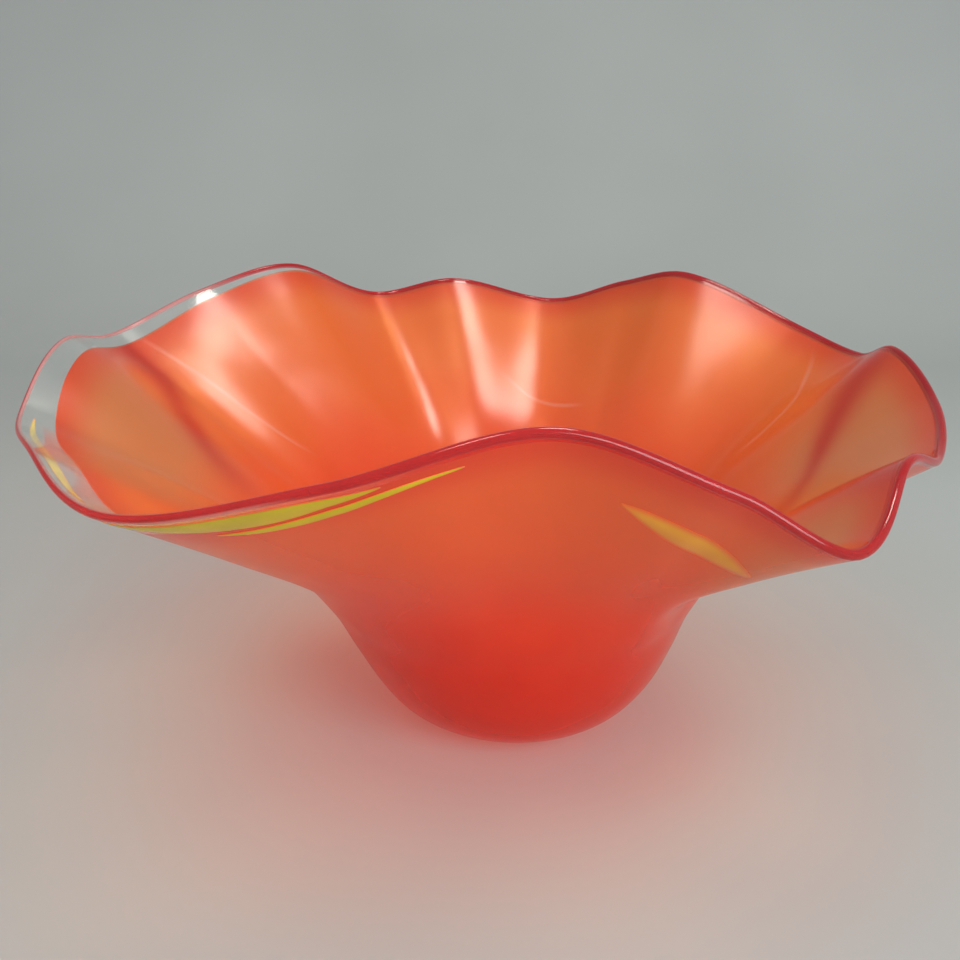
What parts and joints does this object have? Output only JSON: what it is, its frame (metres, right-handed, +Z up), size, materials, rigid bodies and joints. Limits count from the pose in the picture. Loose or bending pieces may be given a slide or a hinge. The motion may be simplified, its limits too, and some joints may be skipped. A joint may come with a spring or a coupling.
{
  "type": "bowl",
  "caption": "Wide free-blown glass bowl with a rounded cup, a flared ruffled rim, orange colour over clear glass, and a red bead along its lip.",
  "frame": {"origin": "centre of the flat underside of the foot", "axes": "+Z up out of the bowl, -Y towards the front, where the rim rises highest, +X to the right seen from the front"},
  "size_m": [0.3726, 0.3619, 0.1873],
  "materials": {
    "clear_glass": "fire-polished, clear",
    "orange_glass": "fire-polished, translucent orange",
    "red_glass": "fire-polished, deep red",
    "yellow_glass": "fire-polished, opaque yellow"
  },
  "bodies": {
    "root": {"clear_gather": "clear_glass", "orange_overlay": "orange_glass", "red_lip_wrap": "red_glass", "yellow_streak_left": "yellow_glass", "yellow_patch_left": "yellow_glass", "yellow_streak_front": "yellow_glass", "yellow_patch_right": "yellow_glass"}
  },
  "joints": []
}
